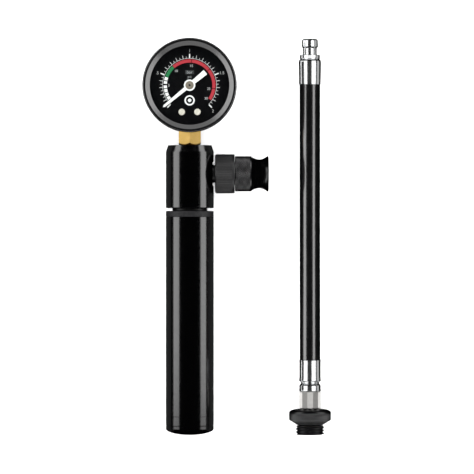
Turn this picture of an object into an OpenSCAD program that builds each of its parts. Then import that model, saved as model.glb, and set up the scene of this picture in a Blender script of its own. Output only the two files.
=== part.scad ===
// Pocket-size hand pump with a pressure gauge, a quick coupler on its side and a short
// fill hose that lies beside it. The pump lies on the plane z = 0 with its axis along +Y:
// handle at -Y, gauge at +Y with its dial up (+Z), coupler towards +X. Millimetres.
// The origin is under the middle of the pump without its hose.

/* [Pump] */
// Outside diameter of the handle, the end cap and the head
body_d = 22; // [21.6:0.1:24]
// Length of the handle, from the end cap's crown to the top of its collar ring
handle_len = 103; // [90:1:140]
// Visible length of the end cap
cap_len = 8.6; // [8:0.1:9]
// Length of the collar ring on the handle's open end
collar_len = 2.7; // [2.2:0.1:3.2]
// Gap between the closed handle and the head
head_gap = 1.3; // [1:0.1:2]
// Length of the head
head_len = 28.9; // [28.5:0.1:32]
// Outside diameter of the barrel
barrel_d = 15; // [14.6:0.1:15.2]
// Bore of the barrel, which the piston runs in
barrel_bore_d = 12.4; // [12.2:0.1:12.6]
// Diameter of the piston rod
rod_d = 5; // [4.6:0.1:5.2]

/* [Gauge] */
// Outside diameter of the gauge's bezel
gauge_d = 43.2; // [43:0.1:46]
// Depth of the gauge from its back to the rim of its bezel
gauge_depth = 26; // [26:0.5:30]
// Height of the gauge's centre over the top of the head
gauge_rise = 27.3; // [27.2:0.1:30]
// Distance from the gauge's back to its connection
stem_depth = 9.5; // [9.3:0.1:9.8]
// Angle of the resting pointer, anticlockwise from +X
pointer_rest = 219.5; // [200:0.5:225]

/* [Coupler] */
// Distance of the coupler's axis over the bottom of the head
port_rise = 15.8; // [15.6:0.1:16.2]
// Diameter of the union ring
ring_d = 18; // [17.6:0.1:19]
// Diameter of the release sleeve
sleeve_d = 16.2; // [15.8:0.1:16.6]
// Diameter of the release sleeve at its waist
waist_d = 13.2; // [13.1:0.1:13.6]
// Diameter of the release sleeve's flared mouth
mouth_d = 16.5; // [16:0.1:17]
// Bore that takes the hose's nipple
socket_bore_d = 7.5; // [7.4:0.1:7.6]
// Travel of the release sleeve, from open to locked
sleeve_travel = 2.2; // [2.1:0.1:2.2]

/* [Hose] */
// Distance between the pump's axis and the hose's
hose_offset = 55.3; // [48:0.1:70]
// Outside diameter of the hose
hose_d = 9.4; // [9:0.1:9.6]
// Diameter of the thumb collar
thumb_d = 19.3; // [18:0.1:20]
// Major diameter of the fill thread (G 1/4)
thread_d = 13.158; // [13:0.001:13.3]
// Length of the fill thread
thread_len = 3.4; // [3:0.1:3.6]

/* [Hidden] */
$fn = 64;

// Fits
running = 0.06;
loose = 0.05;
edge = 0.3;

// Stations along the pump, from the crown of the end cap
body_r = body_d / 2;
sleeve_top = handle_len - collar_len;
head_base = handle_len + head_gap;
head_top = head_base + head_len;
port_y = head_base + port_rise;
gauge_y = head_top + gauge_rise;
gauge_r = gauge_d / 2;
pump_len = gauge_y + gauge_r;

// Place of the pump's axis in the part's frame
nose_end = 36.3;
axis_x = -(nose_end - gauge_r) / 2;
axis_z = body_r;
hose_x = axis_x + hose_offset;

// Handle
sleeve_bore_r = body_r - 1.7;
cap_crown = 2.85;
cap_groove_y = 4.3;
cap_spigot_len = 3.4;
rod_r = rod_d / 2;
rod_foot_y = 4.6;
rod_nut_h = 2.4;

// Barrel, piston and head
barrel_r = barrel_d / 2;
bore_r = barrel_bore_d / 2;
bush_flange_h = 4;
bush_spigot_h = 5;
bush_y = cap_len + cap_spigot_len + rod_nut_h + 1.1;
barrel_base = bush_y + bush_flange_h;
socket_depth = 9.2;
barrel_top = head_base + socket_depth - 1.2;
piston_h = 6.8;
piston_y = head_base + socket_depth - piston_h - 4.4;
shank_r = 1.95;
seat_r = 3;
seat_h = 2.8;
seat_y = head_base + socket_depth;
chamber_r = 2.4;
chamber_h = 7.2;
ball_r = 1.6;
ball_rise = 0.4;
stem_thread_r = 4.86;
stem_socket_y = head_top - 7.6;

// Coupler, measured out from the pump's axis
neck_r = 4.1;
port_thread_r = 3.4;
ring_u = 11.6;
sleeve_u = 20.7;
nose_u = 28.4;
waist_u = 31.9;
socket_u = 14.9;
socket_end_u = 31;
socket_r = 5.17;
socket_bore_r = socket_bore_d / 2;
air_r = 1.6;
ball_u = 28.7;
lock_ball_r = 1;
ball_out_r = socket_bore_r + lock_ball_r + 0.03;
ball_count = 3;
ball_drop = 0.58;
ramp_gap = 0.05;
land_r = ball_out_r + lock_ball_r - ball_drop + ramp_gap;
recess_r = 5.9;
mouth_bore_r = 5.4;
spring_room_r = 6.6;
spring_room_end_u = 25.4;

// Gauge, measured up from its back
case_r = gauge_r - 1;
case_wall = 1.2;
rim_w = gauge_depth - 3.8;
lens_w = rim_w + 0.7;
lens_h = 1.4;
lens_r = case_r - 0.2;
window_r = gauge_r - 3.4;
dial_w = rim_w - 2.8;
dial_h = 0.6;
dial_r = gauge_r - 2.4;
pointer_w = dial_w + 1.9;
tube_mid_r = 15.2;
tube_w = 6.5;
tube_h = 6;
tip_angle = -30;
plate_h = 0.8;
back_plate_w = 7.6;
block_w = 4;
block_top_w = 14;
block_half = 5;
block_low_y = -18.6;
block_high_y = -10.5;

// Gear pair of the gauge's movement
gear_module = 0.25;
pinion_teeth = 10;
sector_teeth = 60;
pinion_r = gear_module * pinion_teeth / 2;
sector_r = gear_module * sector_teeth / 2;
centre_distance = pinion_r + sector_r;
sector_angle = -23.9;
sector_pos = [centre_distance * cos(sector_angle), centre_distance * sin(sector_angle)];
sector_travel = 44;
sector_w = 10.3;
link_w = 12.9;
tail_len = 4;
tail_angle = -112;
tail_pos = sector_pos + tail_len * [cos(tail_angle), sin(tail_angle)];
pillar_pos = [[3, 5.5], [-4.5, 3.5], [-1.5, -6.4]];
screw_pos = [[-3.6, -12.2], [3.6, -12.2]];

// Fill hose: heights of its two ends' axes over the plane it lies on
hose_r = hose_d / 2;
nipple_z = 5.15;
thumb_r = thumb_d / 2;
thumb_z = thumb_r;
thumb_base = 4.3;
thumb_top = 12;
nut_top = 20;
stem_top = 24.3;
lower_mouth = 34.5;
upper_mouth = 161.4;
flange_y = 173.3;
nipple_top = 182.3;
nipple_r = 3.7;
nipple_neck_r = 3.2;
fitting_bore_r = 3.2;
// Route of the hose's centreline: [distance along the pump, height]
hose_route = [
    [upper_mouth, nipple_z], [152, 5.15], [143, 5.1], [134, 5], [125, 4.9], [116, 4.8],
    [107, 4.75], [98, 4.8], [89, 5.1], [80, 5.75], [71, 6.7], [62, 7.7], [53, 8.65],
    [44, 9.4], [39, 9.6], [lower_mouth, thumb_z]
];

// ---------- placing ----------

// Local +Z runs along the pump, from the crown of the end cap
module along_pump(y = 0) {
    translate([axis_x, y - pump_len / 2, axis_z]) rotate([-90, 0, 0]) children();
}

// Local +Z runs out of the side port, from the pump's axis
module along_port(u = 0) {
    translate([axis_x + u, port_y - pump_len / 2, axis_z]) rotate([0, 90, 0]) children();
}

// Local XY is the dial's plane, centred on the dial, and z counts from the gauge's back
module in_gauge(w = 0) {
    translate([axis_x, gauge_y - pump_len / 2, axis_z - stem_depth + w]) children();
}

// Local +Z runs along the hose, z counted as along the pump
module along_hose(y = 0, height = nipple_z) {
    translate([hose_x, y - pump_len / 2, height]) rotate([-90, 0, 0]) children();
}

// ---------- shapes ----------

// Points of an elliptic arc, for outlines
function arc(centre, rx, ry, from, to, steps = 8) = [
    for (i = [0:steps])
        let (a = from + (to - from) * i / steps)
        centre + [rx * cos(a), ry * sin(a)]
];

// Ring with chamfered outer edges
module ring(r, bore, h, bevel = 0) {
    rotate_extrude()
        polygon([
            [bore, 0], [r - bevel, 0], [r, bevel], [r, h - bevel], [r - bevel, h], [bore, h]
        ]);
}

// O-ring of mean radius r and thickness t
module o_ring(r, t) {
    rotate_extrude() translate([r, 0]) circle(d = t);
}

module hex(across_flats, h) {
    cylinder(d = across_flats / cos(30), h = h, $fn = 6);
}

// Round wire coil along +Z, as one swept solid
module coil(r, wire_r, h, turns, sides = 6, steps = 14) {
    rings = turns * steps;
    points = [
        for (i = [0:rings])
            let (a = 360 * i / steps, z = h * i / rings)
            for (j = [0:sides - 1])
                let (b = 360 * j / sides, q = r + wire_r * cos(b))
                [q * cos(a), q * sin(a), z + wire_r * sin(b)]
    ];
    faces = concat(
        [[for (j = [0:sides - 1]) j]],
        [[for (j = [sides - 1:-1:0]) rings * sides + j]],
        [
            for (i = [0:rings - 1], j = [0:sides - 1])
                let (k = (j + 1) % sides, a = i * sides, b = a + sides)
                [a + j, b + j, b + k, a + k]
        ]
    );
    polyhedron(points, faces);
}

// Straight-flanked tooth pointing along +X, from just inside the rim outwards
module tooth(pitch_r) {
    polygon([
        [pitch_r - 0.4, -0.2], [pitch_r, -0.12], [pitch_r + 0.2, -0.05],
        [pitch_r + 0.2, 0.05], [pitch_r, 0.12], [pitch_r - 0.4, 0.2]
    ]);
}

// ---------- head and barrel ----------

module head_body() {
    chamfer_h = 3;
    chamfer_d = 1;
    spot_r = 6;
    spot_u = 10.5;
    color("#101012")
    difference() {
        along_pump(head_base)
            rotate_extrude()
                polygon([
                    [0, 0], [body_r - edge, 0], [body_r, edge], [body_r, head_len - chamfer_h],
                    [body_r - chamfer_d, head_len], [0, head_len]
                ]);
        along_pump(head_base - 1) cylinder(r = barrel_r + loose, h = socket_depth + 1);
        along_pump(seat_y - 1) cylinder(r = seat_r, h = seat_h + 1);
        along_pump(seat_y) cylinder(r = chamber_r, h = seat_h + chamber_h);
        along_pump(seat_y) cylinder(r = 1, h = head_len);
        along_pump(stem_socket_y) cylinder(r = stem_thread_r + loose, h = head_len);
        along_port() cylinder(r = 2, h = body_r);
        along_port(5.5) cylinder(r = port_thread_r, h = body_r);
        along_port(spot_u) cylinder(r = spot_r, h = body_r);
    }
}

module barrel_tube() {
    color("#18181a")
        along_pump(barrel_base) ring(barrel_r, bore_r, barrel_top - barrel_base, 0.2);
}

// Rubber ring on the barrel that the closing handle meets
module bumper_ring() {
    width = head_gap - loose;
    thickness = 0.5;
    color("#0c0c0d")
        along_pump(head_base - width)
            rotate_extrude()
                polygon(concat(
                    [[barrel_r + 0.02, 0]],
                    arc([barrel_r + thickness - 0.2, 0.3], 0.25, 0.3, -90, 0, 3),
                    arc([barrel_r + thickness - 0.2, width - 0.3], 0.25, 0.3, 0, 90, 3),
                    [[barrel_r + 0.02, width]]
                ));
}

// Plug in the barrel's open end, which guides the rod inside it and the handle outside it
module barrel_end_bush() {
    vent_count = 4;
    color("#2b2b2e")
    along_pump(bush_y)
        difference() {
            union() {
                cylinder(r = sleeve_bore_r - running, h = bush_flange_h);
                cylinder(r = bore_r - loose, h = bush_flange_h + bush_spigot_h);
            }
            translate([0, 0, -1]) cylinder(r = rod_r + running, h = 12);
            for (i = [0:vent_count - 1])
                rotate(i * 360 / vent_count)
                    translate([(rod_r + bore_r) / 2, 0, -1])
                        cylinder(r = 0.9, h = 12);
        }
}

module barrel_seal() {
    thickness = 1;
    color("#0c0c0d")
        along_pump(barrel_top + 0.1 + thickness / 2) o_ring((barrel_r + bore_r) / 2, thickness);
}

// ---------- check valve ----------

module valve_seat() {
    color("#cfa24a")
    along_pump(seat_y + loose)
        difference() {
            cylinder(r = seat_r - 0.03, h = seat_h - loose);
            translate([0, 0, -1]) cylinder(r = 1.1, h = seat_h + 2);
            translate([0, 0, seat_h - 0.8 - loose]) cylinder(r1 = 1.1, r2 = 1.9, h = 0.81);
        }
}

module valve_ball() {
    color("#d8d8dc") along_pump(seat_y + seat_h + ball_rise) sphere(r = ball_r);
}

module valve_spring() {
    wire_r = 0.2;
    coil_r = 1.2;
    perch = sqrt(pow(ball_r + wire_r + 0.02, 2) - pow(coil_r, 2));
    foot = seat_y + seat_h + ball_rise + perch;
    roof = seat_y + seat_h + chamber_h;
    color("#b9bcc2") along_pump(foot) coil(coil_r, wire_r, roof - foot - wire_r - 0.05, 5);
}

// ---------- gauge ----------

// Brass connection: threaded end, hexagon, neck and the block inside the case
module gauge_stem() {
    hex_h = 6.4;
    thread_h = head_top - stem_socket_y - 0.8;
    neck_h = gauge_rise - hex_h + block_low_y + 1;
    bore_end_y = gauge_rise + block_high_y - 2;
    color("#cfa24a")
    difference() {
        union() {
            along_pump(head_top - thread_h) cylinder(r = stem_thread_r - 0.2, h = thread_h + 1);
            along_pump(head_top - thread_h) cylinder(r = stem_thread_r, h = thread_h);
            along_pump(head_top)
                intersection() {
                    rotate(30) hex(10.1, hex_h);
                    rotate_extrude()
                        polygon([[0, 0], [4.6, 0], [5.9, 1.2], [5.9, hex_h], [0, hex_h]]);
                }
            along_pump(head_top + hex_h - 1) cylinder(r = 4.5, h = neck_h + 1);
            in_gauge(block_w)
                translate([-block_half, block_low_y, 0])
                    cube([2 * block_half, block_high_y - block_low_y, block_top_w - block_w]);
        }
        along_pump(head_top - thread_h - 1) cylinder(r = 1, h = thread_h + 1 + bore_end_y);
        for (p = screw_pos)
            in_gauge(block_top_w - 5) translate(p) cylinder(r = 0.75, h = 6);
    }
}

module stem_washer() {
    color("#b06a3a") along_pump(stem_socket_y + 0.02) ring(stem_thread_r - 0.1, 1.6, 0.7);
}

module gauge_case() {
    back_h = 1.6;
    corner = 1.2;
    color("#0e0e10")
    difference() {
        in_gauge()
            rotate_extrude()
                polygon(concat(
                    [[0, 0]],
                    arc([case_r - corner, corner], corner, corner, -90, 0, 6),
                    [
                        [case_r, rim_w], [case_r - case_wall, rim_w],
                        [case_r - case_wall, back_h], [0, back_h]
                    ]
                ));
        along_pump(head_top + 4) cylinder(r = 4.6, h = 6);
    }
}

// Ring that holds the lens: a rim, then a bevel that slopes down to the window
module gauge_bezel() {
    skirt = 7.2;
    rim = 1.4;
    bevel_drop = 1.1;
    top = gauge_depth;
    color("#1b1b1e")
    in_gauge()
        rotate_extrude()
            polygon(concat(
                [[case_r + loose, top - skirt], [gauge_r - edge, top - skirt]],
                [[gauge_r, top - skirt + edge]],
                arc([gauge_r - 0.7, top - 0.7], 0.7, 0.7, 0, 90, 5),
                [[gauge_r - rim, top], [window_r, top - bevel_drop]],
                [[window_r, lens_w + lens_h + 0.03], [case_r + loose, lens_w + lens_h + 0.03]]
            ));
}

module gauge_lens() {
    color("#e8f0f4", 0.3) in_gauge(lens_w) cylinder(r = lens_r, h = lens_h);
}

module lens_gasket() {
    color("#0c0c0d") in_gauge(rim_w + 0.02) ring(lens_r, window_r + 0.4, 0.66);
}

module dial_plate() {
    color("#08080a")
    in_gauge(dial_w)
        difference() {
            cylinder(r = dial_r, h = dial_h);
            translate([0, 0, -1]) cylinder(r = 1.2, h = 3);
            for (p = screw_pos) translate([p.x, p.y, -1]) cylinder(r = 0.75, h = 3);
        }
}

module dial_screws() {
    head_h = 0.7;
    color("#d9d4c4")
    for (p = screw_pos)
        in_gauge(dial_w + dial_h + 0.02)
            translate(p) {
                translate([0, 0, -4]) cylinder(r = 0.65, h = 4.2);
                difference() {
                    rotate_extrude()
                        polygon([[0, 0], [1.5, 0], [1.5, 0.4], [1.2, head_h], [0, head_h]]);
                    translate([-0.2, -2, 0.35]) cube([0.4, 4, 1]);
                }
            }
}

module dial_posts() {
    stud_w = block_top_w - 3.5;
    foot_w = block_top_w + plate_h + 0.02;
    color("#cfa24a")
    for (p = screw_pos)
        in_gauge()
            translate(p)
                difference() {
                    union() {
                        translate([0, 0, foot_w]) cylinder(r = 1.3, h = dial_w - foot_w - 0.02);
                        translate([0, 0, stud_w]) cylinder(r = 0.65, h = foot_w + 0.5 - stud_w);
                    }
                    translate([0, 0, dial_w - 4]) cylinder(r = 0.72, h = 5);
                }
}

// Flattened tube, bent to a C, that uncurls as the pressure rises
module bourdon_tube() {
    half_wall = 1;
    color("#b98a45")
    in_gauge(tube_w)
        rotate([0, 0, tip_angle])
            rotate_extrude(angle = 252 - tip_angle)
                translate([tube_mid_r, 0])
                    polygon(concat(
                        arc([0, half_wall], half_wall, half_wall, 180, 360, 8),
                        arc([0, tube_h - half_wall], half_wall, half_wall, 0, 180, 8)
                    ));
}

// Plug that closes the tube's free end and carries the link's pin
module tube_tip() {
    color("#cfa24a")
    in_gauge(tube_w)
        rotate(tip_angle)
            translate([tube_mid_r, 0, 0]) {
                translate([-1.2, -2, 0]) cube([2.4, 2.1, tube_h]);
                translate([0, -1, 0]) cylinder(r = 0.35, h = link_w + 0.8 - tube_w);
            }
}

// Outline of a movement plate, with an ear for the sector's pivot
module plate_outline() {
    circle(r = 7.4);
    translate(sector_pos) circle(r = 1.7);
    rotate(sector_angle) translate([0, -1.3]) square([centre_distance, 2.6]);
}

module pivot_holes() {
    circle(r = 0.5 + running);
    translate(sector_pos) circle(r = 0.4 + running);
}

module movement_back_plate() {
    color("#c9a75a")
        in_gauge(back_plate_w)
            linear_extrude(plate_h) difference() {
                plate_outline();
                pivot_holes();
            }
}

module movement_front_plate() {
    color("#c9a75a")
        in_gauge(block_top_w + 0.01)
            linear_extrude(plate_h) difference() {
                union() {
                    plate_outline();
                    translate([-block_half, -16]) square([2 * block_half, 14]);
                }
                pivot_holes();
                for (p = screw_pos) translate(p) circle(r = 0.7);
            }
}

module movement_pillars() {
    foot_w = back_plate_w + plate_h + 0.01;
    color("#b9bcc2")
        for (p = pillar_pos)
            in_gauge(foot_w) translate(p) cylinder(r = 0.7, h = block_top_w - foot_w);
}

// Toothed sector on its staff, with a tail that the link pulls
module sector_gear() {
    thickness = 0.8;
    first = -sector_travel - 6;
    last = 6;
    pitch = 360 / sector_teeth;
    to_pinion = sector_angle + 180;
    color("#c9a75a")
    in_gauge()
        translate(sector_pos) {
            translate([0, 0, sector_w])
                linear_extrude(thickness) {
                    intersection() {
                        difference() {
                            circle(r = sector_r - 0.32);
                            circle(r = sector_r - 1.6);
                        }
                        rotate(to_pinion + first)
                            polygon(concat([[0, 0]], arc([0, 0], 12, 12, 0, last - first, 6)));
                    }
                    for (a = [-7.5:0.5])
                        rotate(to_pinion + a * pitch) tooth(sector_r);
                    for (a = [first + 6, last - 6])
                        rotate(to_pinion + a) translate([0, -0.6]) square([sector_r - 1, 1.2]);
                    rotate(tail_angle) translate([0, -0.6]) square([tail_len, 1.2]);
                    rotate(tail_angle) translate([tail_len, 0]) circle(r = 0.8);
                    circle(r = 1.2);
                }
            translate([0, 0, back_plate_w - 0.1])
                cylinder(r = 0.4, h = block_top_w + plate_h + 0.2 - back_plate_w);
            rotate(tail_angle)
                translate([tail_len, 0, sector_w]) cylinder(r = 0.35, h = link_w + 0.8 - sector_w);
        }
}

// Link between the tube's tip and the sector's tail, slotted for the tip's pin
module tip_link() {
    thickness = 0.5;
    slot_from = 3.1;
    slot_to = 6.2;
    slot_y = -1.07;
    slot_r = 0.62;
    color("#c9a75a")
    in_gauge(link_w)
        translate(tail_pos)
            linear_extrude(thickness)
                difference() {
                    union() {
                        circle(r = 0.9);
                        translate([0, -0.7]) square([slot_from, 1.2]);
                        translate([slot_from - 1, slot_y - 1.1])
                            square([slot_to - slot_from + 1, 2.2]);
                        translate([slot_to, slot_y]) circle(r = 1.1);
                    }
                    circle(r = 0.35 + running);
                    for (x = [slot_from, slot_to]) translate([x, slot_y]) circle(r = slot_r);
                    translate([slot_from, slot_y - slot_r])
                        square([slot_to - slot_from, 2 * slot_r]);
                }
}

// Arbor of the pointer with its pinion
module pinion_arbor() {
    pinion_w = 9.6;
    pinion_h = 2.2;
    color("#b9bcc2")
    in_gauge() {
        translate([0, 0, back_plate_w - 0.2])
            cylinder(r = 0.5, h = pointer_w + 0.6 - back_plate_w);
        translate([0, 0, pinion_w])
            linear_extrude(pinion_h) {
                circle(r = pinion_r - 0.32);
                for (i = [0:pinion_teeth - 1])
                    rotate(sector_angle + i * 360 / pinion_teeth) tooth(pinion_r);
            }
    }
}

// Flat spiral that takes up the backlash
module hairspring() {
    turns = 3.5;
    first_r = 0.9;
    last_r = 4.1;
    half = 0.08;
    steps = 84;
    function spiral_r(i) = first_r + (last_r - first_r) * i / steps;
    function spiral_a(i) = 360 * turns * i / steps;
    color("#8f9399")
    in_gauge(12.5)
        linear_extrude(0.6)
            polygon(concat(
                [for (i = [0:steps])
                    (spiral_r(i) - half) * [cos(spiral_a(i)), sin(spiral_a(i))]],
                [for (i = [steps:-1:0])
                    (spiral_r(i) + half) * [cos(spiral_a(i)), sin(spiral_a(i))]]
            ));
}

module pointer() {
    tip = 15.9;
    tail = 9.4;
    color("#f2f2f0")
    in_gauge(pointer_w)
        rotate(pointer_rest) {
            linear_extrude(0.45)
                difference() {
                    union() {
                        polygon([
                            [0, -0.9], [tip - 1, -0.55], [tip, 0], [tip - 1, 0.55], [0, 0.9]
                        ]);
                        polygon([[0, -0.9], [0, 0.9], [-tail, 1.25], [-tail, -1.25]]);
                        circle(r = 2.6);
                    }
                    circle(r = 0.5);
                }
        }
}

module pointer_cap() {
    color("#c9a75a")
        in_gauge(pointer_w + 0.46)
            rotate_extrude()
                polygon([[0.52, 0], [1.9, 0], [1.9, 0.2], [1.5, 0.4], [0.52, 0.4]]);
}

// ---------- coupler ----------

module port_adapter() {
    thread_u = 6.25;
    shoulder_u = 10.5;
    flange_u = 12.75;
    flange_end_u = 14.55;
    color("#131315")
    along_port()
        rotate_extrude()
            polygon([
                [air_r, thread_u], [port_thread_r - loose, thread_u],
                [port_thread_r - loose, shoulder_u], [neck_r, shoulder_u], [neck_r, flange_u],
                [6.4, flange_u], [6.4, flange_end_u], [air_r, flange_end_u]
            ]);
}

module port_washer() {
    color("#b06a3a") along_port(5.52) ring(port_thread_r - 0.1, 2, 0.7);
}

// Knurled union nut that turns on the adapter's flange
module union_ring() {
    wall = 1;
    bevel = 0.6;
    length = sleeve_u - 0.05 - ring_u;
    r = ring_d / 2;
    color("#3b3b3d")
    along_port(ring_u)
        rotate_extrude()
            polygon([
                [neck_r + 0.08, 0], [r - bevel, 0], [r, bevel], [r, length - edge],
                [r - edge, length], [7.06, length], [7.06, wall], [neck_r + 0.08, wall]
            ]);
}

module union_seal() {
    color("#0c0c0d") along_port(14.57) ring(5.4, 4.2, 0.9);
}

// Steel socket that the hose's nipple plugs into
module socket_body() {
    shank_end_u = 20.4;
    groove_r = 4.65;
    color("#8f9399")
    difference() {
        along_port()
            rotate_extrude()
                polygon([
                    [air_r, socket_u], [4, socket_u], [4, 15.6], [5.6, 15.6], [5.6, socket_u],
                    [7, socket_u], [7, shank_end_u], [socket_r, shank_end_u],
                    [socket_r, 29.95], [4.75, 29.95], [4.75, 30.55], [socket_r, 30.55],
                    [socket_r, socket_end_u], [socket_bore_r, socket_end_u],
                    [socket_bore_r, 26.4], [groove_r, 26.4], [groove_r, 25.2],
                    [socket_bore_r, 25.2], [socket_bore_r, 22.5], [air_r, 22.5]
                ]);
        for (i = [0:ball_count - 1])
            along_port(ball_u)
                rotate(i * 360 / ball_count)
                    rotate([0, 90, 0]) cylinder(r = lock_ball_r + loose, h = 8);
    }
}

module socket_o_ring() {
    thickness = 0.9;
    color("#0c0c0d")
        along_port(25.8) o_ring(socket_bore_r + thickness / 2, thickness);
}

module lock_ball(i) {
    color("#d8d8dc")
        along_port(ball_u) rotate(i * 360 / ball_count) translate([ball_out_r, 0, 0])
            sphere(r = lock_ball_r);
}

module lock_ball_1() {
    lock_ball(0);
}

module lock_ball_2() {
    lock_ball(1);
}

module lock_ball_3() {
    lock_ball(2);
}

// Wire ring, open at one side, that stops the sleeve
module snap_ring() {
    color("#b9bcc2")
        along_port(30)
            rotate(40) rotate_extrude(angle = 320) translate([4.8, 0]) square([0.7, 0.5]);
}

module sleeve_spring() {
    wire_r = 0.3;
    length = spring_room_end_u - 20.4 - 2 * wire_r - 0.1;
    color("#b9bcc2") along_port(20.4 + wire_r + 0.05) coil(5.95, wire_r, length, 4, 6, 24);
}

// Release sleeve: knurled grip, waisted nose and flared mouth, with the balls' ramp inside
module release_sleeve() {
    r = sleeve_d / 2;
    lip_r = mouth_d / 2;
    waist_r = waist_d / 2;
    flare_end_u = nose_end - 0.6;
    ramp_from_u = ball_u - sleeve_travel;
    color("#151517")
    along_port()
        rotate_extrude()
            polygon(concat(
                [[spring_room_r, sleeve_u + loose], [r - edge, sleeve_u + loose]],
                [[r, sleeve_u + loose + edge], [r, nose_u - edge], [r - edge, nose_u]],
                [
                    for (i = [1:7])
                        let (t = i / 8)
                        [waist_r + (r - edge - waist_r) * pow(1 - t, 2),
                         nose_u + (waist_u - nose_u) * t]
                ],
                [
                    for (i = [0:9])
                        let (t = i / 9)
                        [waist_r + (lip_r - waist_r) * pow(t, 2),
                         waist_u + (flare_end_u - waist_u) * t]
                ],
                [[lip_r - 0.3, nose_end - 0.2], [lip_r - 1.2, nose_end]],
                [[mouth_bore_r + 0.8, nose_end], [mouth_bore_r, nose_end - 0.8]],
                [[mouth_bore_r, 31.2], [recess_r, 31.2], [recess_r, ball_u + 0.27]],
                [[land_r, ramp_from_u], [land_r, spring_room_end_u]],
                [[spring_room_r, spring_room_end_u]]
            ));
}

// ---------- piston ----------

module piston() {
    groove_y = 2.4;
    groove_h = 2;
    color("#cfa24a")
    along_pump(piston_y)
        rotate_extrude()
            polygon([
                [shank_r + running, 0], [bore_r - 0.15, 0], [bore_r - 0.15, groove_y],
                [4.6, groove_y], [4.6, groove_y + groove_h], [bore_r - 0.15, groove_y + groove_h],
                [bore_r - 0.15, piston_h], [3.3, piston_h], [3.3, piston_h - 2.3],
                [shank_r + running, piston_h - 2.3]
            ]);
}

module piston_seal() {
    outer = bore_r - 0.04;
    color("#0c0c0d")
        along_pump(piston_y + 2.5)
            rotate_extrude()
                polygon(concat(
                    [[4.65, 0]],
                    arc([outer - 0.4, 0.4], 0.4, 0.4, -90, 0, 4),
                    arc([outer - 0.4, 1.4], 0.4, 0.4, 0, 90, 4),
                    [[4.65, 1.8]]
                ));
}

// Screw that keeps the piston on the rod's end
module piston_screw() {
    color("#b9bcc2")
    along_pump(piston_y + piston_h - 2.25)
        difference() {
            union() {
                cylinder(r = 2.9, h = 1.5);
                translate([0, 0, -5]) cylinder(r = 0.98, h = 5);
            }
            translate([0, 0, 0.8]) hex(2, 2);
        }
}

module piston_rod() {
    shoulder = piston_y - 0.1;
    shank_top = piston_y + piston_h - 2.27;
    color("#c6c8cc")
    along_pump()
        difference() {
            rotate_extrude()
                polygon([
                    [0, rod_foot_y], [rod_r - 0.3, rod_foot_y], [rod_r, rod_foot_y + 0.3],
                    [rod_r, shoulder], [shank_r, shoulder], [shank_r, shank_top], [0, shank_top]
                ]);
            translate([0, 0, shank_top - 5.2]) cylinder(r = 1, h = 6);
        }
}

// ---------- handle ----------

module rod_nut() {
    color("#b9bcc2")
    along_pump(cap_len + cap_spigot_len + loose)
        difference() {
            hex(8, rod_nut_h);
            translate([0, 0, -1]) cylinder(r = rod_r + 0.02, h = rod_nut_h + 2);
        }
}

// Domed cap that screws into the handle and holds the rod
module end_cap() {
    groove = 0.25;
    spigot_r = sleeve_bore_r - loose;
    top = cap_len + cap_spigot_len;
    o_ring_y = cap_len + 0.4;
    color("#0e0e10")
    along_pump()
        difference() {
            rotate_extrude()
                polygon(concat(
                    arc([0, cap_crown], body_r, cap_crown, -90, 0, 12),
                    [
                        [body_r, cap_groove_y - groove], [body_r - groove, cap_groove_y],
                        [body_r, cap_groove_y + groove], [body_r, cap_len - 0.15],
                        [body_r - 0.15, cap_len], [spigot_r, cap_len],
                        [spigot_r, o_ring_y], [spigot_r - 1.1, o_ring_y],
                        [spigot_r - 1.1, o_ring_y + 1.2], [spigot_r, o_ring_y + 1.2],
                        [spigot_r, top], [0, top]
                    ]
                ));
            translate([0, 0, rod_foot_y - 0.1]) cylinder(r = rod_r + 0.02, h = cap_len + 4);
        }
}

module cap_o_ring() {
    color("#0c0c0d") along_pump(cap_len + 1) o_ring(sleeve_bore_r - 0.55, 1);
}

module handle_sleeve() {
    color("#0e0e10")
        along_pump(cap_len) ring(body_r, sleeve_bore_r, sleeve_top - cap_len, 0.12);
}

// Ring that closes the handle's open end and holds the bush
module sleeve_collar() {
    spigot_h = 4.3;
    bore = barrel_r + 0.9;
    color("#202022")
    along_pump(sleeve_top)
        rotate_extrude()
            polygon([
                [bore, -spigot_h], [sleeve_bore_r - loose, -spigot_h], [sleeve_bore_r - loose, 0],
                [body_r - 0.15, 0], [body_r, 0.15], [body_r, collar_len - edge],
                [body_r - edge, collar_len], [bore, collar_len]
            ]);
}

module collar_bush() {
    color("#2b2b2e")
        along_pump(sleeve_top - 4.2) ring(barrel_r + 0.86, barrel_r + running, 6.4);
}

// ---------- fill hose ----------

// Solid hose swept along its route, with square ends
module hose_tube() {
    sides = 12;
    last = len(hose_route) - 1;
    function slope(i) =
        i == 0 || i == last ? 0
        : atan2(
            hose_route[i + 1].y - hose_route[i - 1].y,
            hose_route[i - 1].x - hose_route[i + 1].x
        );
    points = [
        for (i = [0:last], j = [0:sides - 1])
            let (
                a = 360 * j / sides,
                lift = hose_r * sin(a)
            )
            [
                hose_x + hose_r * cos(a),
                hose_route[i].x - pump_len / 2 + lift * sin(slope(i)),
                hose_route[i].y + lift * cos(slope(i))
            ]
    ];
    faces = concat(
        [[for (j = [sides - 1:-1:0]) j]],
        [[for (j = [0:sides - 1]) last * sides + j]],
        [
            for (i = [0:last - 1], j = [0:sides - 1])
                let (k = (j + 1) % sides, a = i * sides, b = a + sides)
                [a + j, a + k, b + k, b + j]
        ]
    );
    color("#141416") polyhedron(points, faces);
}

// Crimped ferrule at the nipple's end, slightly flared to a rounded shoulder
module upper_ferrule() {
    length = flange_y - 0.3 - upper_mouth;
    color("#d9dadd")
    along_hose(upper_mouth)
        rotate_extrude()
            polygon(concat(
                [[fitting_bore_r, 0], [4.95, 0], [4.98, 0.8]],
                arc([4.14, length - 1.2], 1, 1.2, 0, 90, 5),
                [[fitting_bore_r, length]]
            ));
}

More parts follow.
